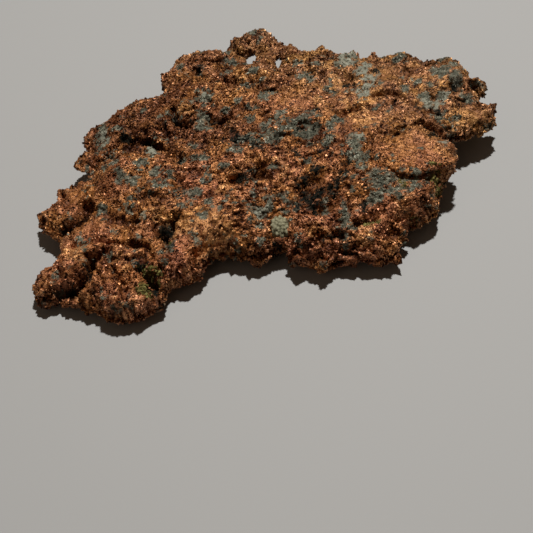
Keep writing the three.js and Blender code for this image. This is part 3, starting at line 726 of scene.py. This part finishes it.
def copper_finish(name, grain, roughness, bump):
    """Copper as it grew: light on the crests, brown in the pits and black in the creases, partly wear
    and partly painted shade, with torn patches of grey-green bloom, black oxide that is also painted
    shade, and olive dirt, that are dull where the metal shines."""
    material = bpy.data.materials.new(name)
    material.use_nodes = True
    tree = material.node_tree
    shader = tree.nodes["Principled BSDF"]

    # How light the metal is, 0 in the pits to 1 on the crests, partly wear and partly painted shade,
    # with pores and cracks left dark as painted shade between the grains.
    fine = cloud(tree, grain)
    wear_and_painted_light = sums(tree, "MULTIPLY_ADD", mark_of(tree, "crest"), 0.7, -0.19)
    wear_and_painted_light = sums(tree, "MULTIPLY_ADD", fine, 0.62, wear_and_painted_light)
    # Painted shade: darker over the back left.
    wear_and_painted_light = sums(tree, "MULTIPLY_ADD", mark_of(tree, "painted_shade"), -0.13, wear_and_painted_light)
    # Painted highlight: lighter on the bright places.
    wear_and_painted_light = sums(tree, "MULTIPLY_ADD", mark_of(tree, "painted_highlight"), 0.1, wear_and_painted_light)
    pores = sums(tree, "MULTIPLY_ADD", cloud(tree, 0.6, 2.0), 8.0, -4.6)
    cracks = sums(tree, "COMPARE", cloud(tree, 1.1, 1.0), 0.5, 0.02)
    fissures = sums(tree, "COMPARE", cloud(tree, 3.4, 3.0), 0.5, 0.012)
    gaps = sums(tree, "MAXIMUM", sums(tree, "MAXIMUM", pores, cracks), fissures)
    wear_and_painted_light = sums(tree, "SUBTRACT", wear_and_painted_light, sums(tree, "MULTIPLY", gaps, 0.5))
    even = mark_of(tree, "smooth")
    wear_and_painted_light = sums(tree, "MULTIPLY", wear_and_painted_light, sums(tree, "MULTIPLY_ADD", even, -0.4, 1.0))
    wear_and_painted_light = sums(tree, "MULTIPLY_ADD", even, 0.23, wear_and_painted_light)

    # The metal's colour by its wear and painted shade, toned by broad blotches and by the soft changes
    # of tone, some of which are painted shade and painted highlights.
    copper = stops(tree, wear_and_painted_light, [
        (0.12, (0.013, 0.004, 0.002)),
        (0.28, (0.075, 0.025, 0.008)),
        (0.45, (0.219, 0.086, 0.028)),
        (0.66, (0.388, 0.171, 0.063)),
        (0.92, (0.620, 0.350, 0.180)),
    ])
    browner = stops(tree, cloud(tree, 6.0), [
        (0.34, (0.82, 0.68, 0.66)),
        (0.44, (1.04, 0.94, 1.02)),
        (0.52, (1.08, 1.02, 0.94)),
        (0.66, (1.20, 1.15, 0.86)),
    ])
    copper = layered(tree, 1.0, copper, browner, "MULTIPLY")
    copper = layered(tree, mark_of(tree, "film"), copper, (1.02, 1.19, 1.30, 1), "MULTIPLY")
    # Lighter and pinker: a pink tone with a painted highlight.
    copper = layered(tree, mark_of(tree, "pink_and_highlight"), copper, (1.20, 1.16, 1.44, 1), "MULTIPLY")
    # Painted shade: the colour is darkened over the back left.
    copper = layered(tree, mark_of(tree, "painted_shade"), copper, (0.72, 0.71, 0.73, 1), "MULTIPLY")
    # Painted golden highlight on the crests of the bright places.
    golden_highlight = sums(tree, "MULTIPLY", mark_of(tree, "painted_highlight"), sums(tree, "MULTIPLY_ADD", wear_and_painted_light, 1.2, -0.35))
    copper = layered(tree, golden_highlight, copper, (0.66, 0.36, 0.13, 1))

    # The crusts, their edges torn by fine noise: green bloom under black oxide and painted shade under olive
    # dirt.
    torn = sums(tree, "MULTIPLY_ADD", cloud(tree, 0.5), 1.6, -0.8)
    bloom = sums(tree, "SUBTRACT", mark_of(tree, "green"), torn)
    green = stops(tree, cloud(tree, 0.9), [
        (0.28, (0.018, 0.021, 0.016)),
        (0.48, (0.082, 0.086, 0.064)),
        (0.72, (0.250, 0.250, 0.190)),
    ])
    oxide_and_shade_cover = sums(tree, "SUBTRACT", mark_of(tree, "oxide_and_shade"), torn)
    dirt = sums(tree, "SUBTRACT", mark_of(tree, "olive"), torn)
    chalk = sums(tree, "SUBTRACT", mark_of(tree, "pale"), torn)
    green = layered(tree, sums(tree, "MULTIPLY", chalk, 0.7), green, (0.30, 0.31, 0.25, 1))
    bloom = sums(tree, "MAXIMUM", bloom, chalk)
    colour = layered(tree, bloom, copper, green)
    # Near black: old oxide, and painted shade in the clefts, the hollows and the underside.
    colour = layered(tree, oxide_and_shade_cover, colour, (0.008, 0.010, 0.008, 1))
    colour = layered(tree, dirt, colour, (0.100, 0.086, 0.024, 1))
    tree.links.new(colour, shader.inputs["Base Color"])

    # Crusts are dull and rough, worn metal shines.
    dull = sums(tree, "MAXIMUM", sums(tree, "MAXIMUM", bloom, oxide_and_shade_cover), dirt)
    shine = sums(tree, "MULTIPLY_ADD", wear_and_painted_light, 0.9, -0.1)
    shine = sums(tree, "MULTIPLY", shine, sums(tree, "SUBTRACT", 1.0, dull))
    tree.links.new(shine, shader.inputs["Metallic"])
    gleam = sums(tree, "MULTIPLY", wear_and_painted_light, sums(tree, "MULTIPLY_ADD", dull, -0.7, 1.0))
    tree.links.new(sums(tree, "MULTIPLY", gleam, 0.6), shader.inputs["Specular IOR Level"])
    matt = sums(tree, "MULTIPLY_ADD", fine, 0.25, roughness - 0.12)
    matt = sums(tree, "MULTIPLY_ADD", dull, 0.3, matt)
    tree.links.new(matt, shader.inputs["Roughness"])

    ripple = tree.nodes.new("ShaderNodeBump")
    ripple.inputs["Strength"].default_value = bump
    ripple.inputs["Distance"].default_value = 0.15 * MM
    tree.links.new(cloud(tree, grain * 0.6, 4.0, 0.7), ripple.inputs["Height"])
    tree.links.new(ripple.outputs["Normal"], shader.inputs["Normal"])
    return material


plate = put_mesh("copper_plate", plate_points, plate_faces, plate_marks)
plate.data.materials.append(copper_finish("grown_copper", 0.55, 0.42, 0.9))
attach(plate, "root")
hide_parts("native_copper_nugget")

# ---------------------------------------------------------------------------------------------
# The right lobe. A flat tongue of fine-grained copper grew over the plate on the right and ends
# in a lip, with a dark gap under it. It is one closed sheet, its back half sunk in the plate.
# ---------------------------------------------------------------------------------------------
LOBE_STEPS = 72
LOBE_OUTLINE = [
    (39.4, -6.4), (37, -4.2), (34.2, -0.9), (31.6, 2.4), (29.8, 2.2), (27.6, -0.6), (25, -3),
    (21.4, -4.8), (21.4, -6.8), (24.4, -9.4), (26.8, -11), (29.4, -11.6), (31.6, -11.6),
    (33.4, -10.2), (36.2, -9), (38.4, -8.2),
]
LOBE_LIP = 1.0

# Its upper face is a plane: height at the root, the root's place, and the slope along x and y.
LOBE_HEIGHT = 12.9
LOBE_ROOT = (24, -5)
LOBE_SLOPE = (-0.11, 0.03)

# Its edge is this much lower, and its underside sinks this deep below the edge, this far in.
LOBE_EDGE_DROP = 0.8
LOBE_BELLY = 2
LOBE_BELLY_REACH = 4

# Knobs and creases, given as the plate's are.
LOBE_KNOBS = [(3.1, 0.3, 700), (1.5, 0.35, 720), (0.8, 0.3, 740)]
LOBE_CREASES = [(4.0, 0.07, 0.5, 760)]

lobe_disc = disc_grid(LOBE_STEPS)
lobe_outline = closed_curve(LOBE_OUTLINE, 512)
lobe_plan = plan_of(lobe_disc, lobe_outline)
lobe_inward = edge_distance(lobe_plan, lobe_outline)
lobe_full = np.sqrt(1 - (1 - np.clip(lobe_inward / LOBE_LIP, 0, 1)) ** 2)
lobe_top = (
    LOBE_HEIGHT
    + LOBE_SLOPE[0] * (lobe_plan.real - LOBE_ROOT[0])
    + LOBE_SLOPE[1] * (lobe_plan.imag - LOBE_ROOT[1])
)
lobe_rim = lobe_top - LOBE_EDGE_DROP
lobe_sag = 1 - (1 - lobe_inward.clip(0, LOBE_BELLY_REACH) / LOBE_BELLY_REACH) ** 2
lobe_upper, lobe_lower, lobe_faces = two_sheets(LOBE_STEPS, np.zeros((LOBE_STEPS, LOBE_STEPS), bool))
lobe_points = np.zeros((lobe_lower.max() + 1, 3))
for sheet, height in (
    (lobe_lower, lobe_rim - lobe_sag * LOBE_BELLY),
    (lobe_upper, lobe_rim + lobe_full * (lobe_top - lobe_rim)),
):
    lobe_points[sheet.ravel()] = np.stack([lobe_plan.real, lobe_plan.imag, height], axis=-1).reshape(-1, 3)
lobe_points, lobe_relief = grown(
    lobe_points,
    lobe_faces,
    LOBE_KNOBS,
    LOBE_CREASES,
    np.zeros(len(lobe_points)),
)
lobe_marks = colour_marks(lobe_points, outward(lobe_points, lobe_faces), lobe_relief)
lobe = put_mesh("right_lobe", lobe_points, lobe_faces, lobe_marks)
lobe.data.materials.append(plate.data.materials[0])
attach(lobe, "root")

# ---------------------------------------------------------------------------------------------
# The crystals. All of the copper is crusted with tiny crystals, less than a millimetre across,
# that grew out of it and stay half sunk in it. They are what makes it look like coarse sand and
# glitter. Each is an eight-faced double pyramid, drawn long or short at random.
# ---------------------------------------------------------------------------------------------
CRYSTAL_SMALL = 0.12
CRYSTAL_LARGE = 0.46

# The upper face has three bands of crystals along its long way, which runs to the back right: how
# many stand on each band, how many stand on the underside, and half the middle band's width.
CRYSTALS_ABOVE = 22500
CRYSTALS_BELOW = 16000
LONG_WAY = (0.83, 0.56)
MIDDLE_BAND = 13

TIPS = np.array([(1, 0, 0), (-1, 0, 0), (0, 1, 0), (0, -1, 0), (0, 0, 1), (0, 0, -1)], float)
PYRAMID_FACES = np.array([
    (0, 2, 4), (2, 1, 4), (1, 3, 4), (3, 0, 4), (2, 0, 5), (1, 2, 5), (3, 1, 5), (0, 3, 5),
])
copper_points = np.concatenate([plate_points, lobe_points])
copper_faces = np.concatenate([plate_faces, lobe_faces + len(plate_points)])
copper_marks = {mark: np.concatenate([plate_marks[mark], lobe_marks[mark]]) for mark in plate_marks}


def random_turns(draw, count):
    """Turning matrices spread evenly over all turns, from random four-part unit vectors."""
    q = draw.normal(size=(count, 4))
    w, x, y, z = (q / np.linalg.norm(q, axis=1, keepdims=True)).T
    rows = [
        (1 - 2 * (y * y + z * z), 2 * (x * y - w * z), 2 * (x * z + w * y)),
        (2 * (x * y + w * z), 1 - 2 * (x * x + z * z), 2 * (y * z - w * x)),
        (2 * (x * z - w * y), 2 * (y * z + w * x), 1 - 2 * (x * x + y * y)),
    ]
    return np.stack([np.stack(row, axis=-1) for row in rows], axis=-2)


def scattered(draw, count, weight):
    """Random places on the copper: a face by its weight times its area, then a point in the face.

    Returns the points, their outward directions, and one corner number of each face."""
    a, b, c, d = (copper_points[copper_faces[:, i]] for i in range(4))
    normal = np.cross(c - a, d - b)
    area = np.linalg.norm(normal, axis=1)
    heap = np.cumsum(area * weight)
    face = np.searchsorted(heap, draw.random(count) * heap[-1])
    u, v = draw.random((2, count, 1))
    point = (1 - u) * ((1 - v) * a[face] + v * d[face]) + u * ((1 - v) * b[face] + v * c[face])
    return point, normal[face] / area[face, None], copper_faces[face, 0]


def crystal_crust(name, seed, count, small, large, flat, weight):
    """Crystals of half width small to large, their middles a tenth of that below the surface.

    A crystal's six tips stand at 0.6 to 1.3 times its size from its middle, then it is pressed
    flat along the surface by the share flat. It takes the colour marks of the copper under it;
    its crest mark is shifted at random, a quarter of them well down, so that neighbours differ,
    and is higher on the tips that stand out than on those that are sunk, a painted shade in the
    gaps between crystals."""
    draw = np.random.default_rng(seed)
    middle, away, corner = scattered(draw, count, weight)
    size = small + (large - small) * draw.random(count) ** 3
    size *= 1 - 0.4 * copper_marks["smooth"][corner]
    tips = TIPS[None] * (size[:, None] * draw.uniform(0.6, 1.3, (count, 6)))[..., None]
    tips = np.einsum("nij,nkj->nki", random_turns(draw, count), tips)
    tips -= flat * np.einsum("nkj,nj->nk", tips, away)[..., None] * away[:, None]
    stand = np.einsum("nkj,nj->nk", tips, away) / size[:, None]
    points = (middle - away * (size * 0.1)[:, None])[:, None] + tips
    points[..., 2] = np.maximum(points[..., 2], 0)
    faces = (np.arange(count)[:, None, None] * 6 + PYRAMID_FACES).reshape(-1, 3)
    marks = {mark: np.repeat(values[corner], 6) for mark, values in copper_marks.items()}
    shift = draw.normal(0.1, 0.24, count) - 0.45 * (draw.random(count) < 0.28)
    # Painted shade: tips sunk in the copper are darker than those that stand out.
    marks["crest"] = (0.85 * marks["crest"] + (shift[:, None] + 0.3 * stand).ravel()).clip(0, 1)
    return put_mesh(name, points.reshape(-1, 3), faces, marks, smooth=False)


crystal_metal = copper_finish("copper_crystals", 0.35, 0.42, 0.35)
face_middle = copper_points[copper_faces].mean(axis=1)
face_up = ease(outward(copper_points, copper_faces)[copper_faces[:, 0], 2], -0.45, -0.05)
face_crest = 0.3 + copper_marks["crest"][copper_faces].mean(axis=1) ** 1.5
long_way = face_middle[:, 0] * LONG_WAY[0] + face_middle[:, 1] * LONG_WAY[1]
for name, seed, count, weight in (
    ("copper_crystals_left", 51, CRYSTALS_ABOVE, face_crest * face_up * (long_way < -MIDDLE_BAND)),
    ("copper_crystals_middle", 52, CRYSTALS_ABOVE, face_crest * face_up * (np.abs(long_way) <= MIDDLE_BAND)),
    ("copper_crystals_right", 53, CRYSTALS_ABOVE, face_crest * face_up * (long_way > MIDDLE_BAND)),
    ("copper_crystals_underside", 54, CRYSTALS_BELOW, face_crest * (1 - face_up)),
):
    crust = crystal_crust(name, seed, count, CRYSTAL_SMALL, CRYSTAL_LARGE, 0.0, weight)
    crust.data.materials.append(crystal_metal)
    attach(crust, "root")

# ---------------------------------------------------------------------------------------------
# The green crust. Where the bloom is thick it has flaked into small flat scales of grey-green
# mineral, dull and chalky, stuck to the copper.
# ---------------------------------------------------------------------------------------------
FLAKES = 8500
FLAKE_SMALL = 0.14
FLAKE_LARGE = 0.46
FLAKE_FLATNESS = 0.72


def mineral_finish(name, colours, roughness):
    """A dull mineral: colours picked by the crest mark and fine noise, and a grainy bump."""
    material = bpy.data.materials.new(name)
    material.use_nodes = True
    tree = material.node_tree
    shader = tree.nodes["Principled BSDF"]
    # Darker where the crest mark is low: painted shade between the knobs and on sunk tips.
    tone = sums(tree, "MULTIPLY_ADD", mark_of(tree, "crest"), 0.7, -0.1)
    tone = sums(tree, "MULTIPLY_ADD", mark_of(tree, "pale"), 0.45, tone)
    tone = sums(tree, "MULTIPLY_ADD", cloud(tree, 0.5), 0.6, tone)
    tree.links.new(stops(tree, tone, colours), shader.inputs["Base Color"])
    shader.inputs["Roughness"].default_value = roughness
    shader.inputs["Specular IOR Level"].default_value = 0.2
    grainy = tree.nodes.new("ShaderNodeBump")
    grainy.inputs["Strength"].default_value = 0.6
    grainy.inputs["Distance"].default_value = 0.1 * MM
    tree.links.new(cloud(tree, 0.25), grainy.inputs["Height"])
    tree.links.new(grainy.outputs["Normal"], shader.inputs["Normal"])
    return material


bloom_weight = copper_marks["green"][copper_faces].mean(axis=1) ** 3 * face_up
flakes = crystal_crust(
    "green_flakes", 61, FLAKES, FLAKE_SMALL, FLAKE_LARGE, FLAKE_FLATNESS, bloom_weight
)
flakes.data.materials.append(mineral_finish("green_crust", [
    (0.15, (0.022, 0.024, 0.018)),
    (0.45, (0.085, 0.090, 0.066)),
    (0.70, (0.190, 0.195, 0.145)),
    (0.95, (0.420, 0.420, 0.340)),
], 0.75))
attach(flakes, "root")

# ---------------------------------------------------------------------------------------------
# The olive crumbs. Yellowish crumbs of dirt and mineral have lodged in the clefts, mostly in the
# deep hollow behind the front lobe and under the right lobe.
# ---------------------------------------------------------------------------------------------
CRUMBS = 700
CRUMB_SMALL = 0.15
CRUMB_LARGE = 0.55

dirt_weight = copper_marks["olive"][copper_faces].mean(axis=1) ** 3 * face_up
crumbs = crystal_crust("olive_crumbs", 62, CRUMBS, CRUMB_SMALL, CRUMB_LARGE, 0.0, dirt_weight)
crumbs.data.materials.append(mineral_finish("olive_dirt", [
    (0.15, (0.030, 0.025, 0.006)),
    (0.50, (0.110, 0.096, 0.024)),
    (0.90, (0.270, 0.240, 0.080)),
], 0.8))
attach(crumbs, "root")

# ---------------------------------------------------------------------------------------------
# The pale rosette. One rounded tuft of pale grey-green mineral grew at the front edge, its blades
# fanned out from the middle and their ends knobbly. It is a low dome sunk in the copper.
# ---------------------------------------------------------------------------------------------
ROSETTE_STEPS = 48
ROSETTE_MIDDLE = (3.2, -22.6)
ROSETTE_HALF_WIDTH = 1.8
ROSETTE_HALF_LENGTH = 2.0
ROSETTE_RISE = 1.1
ROSETTE_BLADES = 11
ROSETTE_KNOB_SPACING = 0.7
ROSETTE_KNOB_RISE = 0.45

fan = disc_grid(ROSETTE_STEPS)
fan_radius = np.abs(fan)
blades = np.cos(ROSETTE_BLADES * np.angle(fan) + 3 * fan_radius) * fan_radius
rosette_x = ROSETTE_MIDDLE[0] + ROSETTE_HALF_WIDTH * fan.real * (1 + 0.08 * blades) - 0.25 * fan.imag
rosette_y = ROSETTE_MIDDLE[1] + ROSETTE_HALF_LENGTH * fan.imag * (1 + 0.08 * blades)
rosette_base = gauge(rosette_x, rosette_y, 3) - 1.2 + 0.25 * (rosette_y - ROSETTE_MIDDLE[1])
rosette_dome = ROSETTE_RISE * np.sqrt(np.clip(1 - fan_radius ** 2, 0, 1)) * (1 + 0.1 * blades)
rosette_top = rosette_base + 1 + rosette_dome
fan_upper, fan_lower, fan_faces = two_sheets(ROSETTE_STEPS, np.zeros((ROSETTE_STEPS, ROSETTE_STEPS), bool))
fan_points = np.zeros((fan_lower.max() + 1, 3))
fan_points[fan_lower.ravel()] = np.stack([rosette_x, rosette_y, rosette_base], axis=-1).reshape(-1, 3)
fan_points[fan_upper.ravel()] = np.stack([rosette_x, rosette_y, rosette_top], axis=-1).reshape(-1, 3)
fan_rough = knobs(fan_points, ROSETTE_KNOB_SPACING, 81)
fan_points += outward(fan_points, fan_faces) * (ROSETTE_KNOB_RISE * (fan_rough - 0.5))[:, None]
rosette = put_mesh("pale_rosette", fan_points, fan_faces, {"crest": fan_rough})
rosette.data.materials.append(mineral_finish("pale_mineral", [
    (0.10, (0.048, 0.045, 0.024)),
    (0.45, (0.130, 0.127, 0.075)),
    (0.85, (0.285, 0.275, 0.180)),
], 0.7))
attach(rosette, "root")

# ---------------------------------------------------------------------------------------------
# The floor, the light and the camera: a plain pale sheet, one soft lamp high behind the nugget,
# a weak fill, and a long lens that looks down from the front.
# ---------------------------------------------------------------------------------------------
FLOOR_SIZE = 1.6
LAMP_TARGET = (0, 0, 0.006)
CAMERA_PLACE = (25.14, -176.73, 173.0)
CAMERA_TURN = (41.1, 5.0, 3.8)

floor_side = np.linspace(-FLOOR_SIZE / 2, FLOOR_SIZE / 2, 3) / MM
floor_x, floor_y = np.meshgrid(floor_side, floor_side, indexing="ij")
floor_points = np.stack([floor_x, floor_y, np.zeros_like(floor_x)], axis=-1).reshape(-1, 3)
number = np.arange(9).reshape(3, 3)
floor_faces = np.stack([number[:-1, :-1], number[1:, :-1], number[1:, 1:], number[:-1, 1:]], axis=-1)
floor = put_mesh("floor", floor_points, floor_faces.reshape(-1, 4), {})
floor_paint = bpy.data.materials.new("pale_floor")
floor_paint.use_nodes = True
floor_shader = floor_paint.node_tree.nodes["Principled BSDF"]
floor_shader.inputs["Base Color"].default_value = (0.33, 0.34, 0.345, 1)
floor_shader.inputs["Roughness"].default_value = 0.7
floor.data.materials.append(floor_paint)


def lamp(name, place, size, power, colour):
    """A square soft lamp at a place in metres, turned to face the nugget."""
    light = bpy.data.lights.new(name, "AREA")
    light.size = size
    light.energy = power
    light.color = colour
    holder = bpy.data.objects.new(name, light)
    holder.location = place
    towards = Vector(LAMP_TARGET) - Vector(place)
    holder.rotation_euler = towards.to_track_quat("-Z", "Y").to_euler()
    bpy.context.scene.collection.objects.link(holder)


lamp("key", (0.06, 0.19, 0.67), 0.03, 5.8, (1.0, 0.955, 0.9))
lamp("fill", (-0.5, -0.6, 0.7), 0.9, 0.55, (1.0, 0.76, 0.58))

world = bpy.data.worlds.new("studio")
world.use_nodes = True
world.node_tree.nodes["Background"].inputs["Color"].default_value = (1.0, 0.70, 0.48, 1)
world.node_tree.nodes["Background"].inputs["Strength"].default_value = 0.06
bpy.context.scene.world = world
bpy.context.scene.view_settings.view_transform = "Standard"

lens = bpy.data.cameras.new("camera")
lens.lens = 75.0
lens.sensor_width = 36.0
camera = bpy.data.objects.new("camera", lens)
camera.location = Vector(CAMERA_PLACE) * MM + Vector(to_frame * MM)
camera.rotation_euler = [math.radians(turn) for turn in CAMERA_TURN]
bpy.context.scene.collection.objects.link(camera)
bpy.context.scene.camera = camera
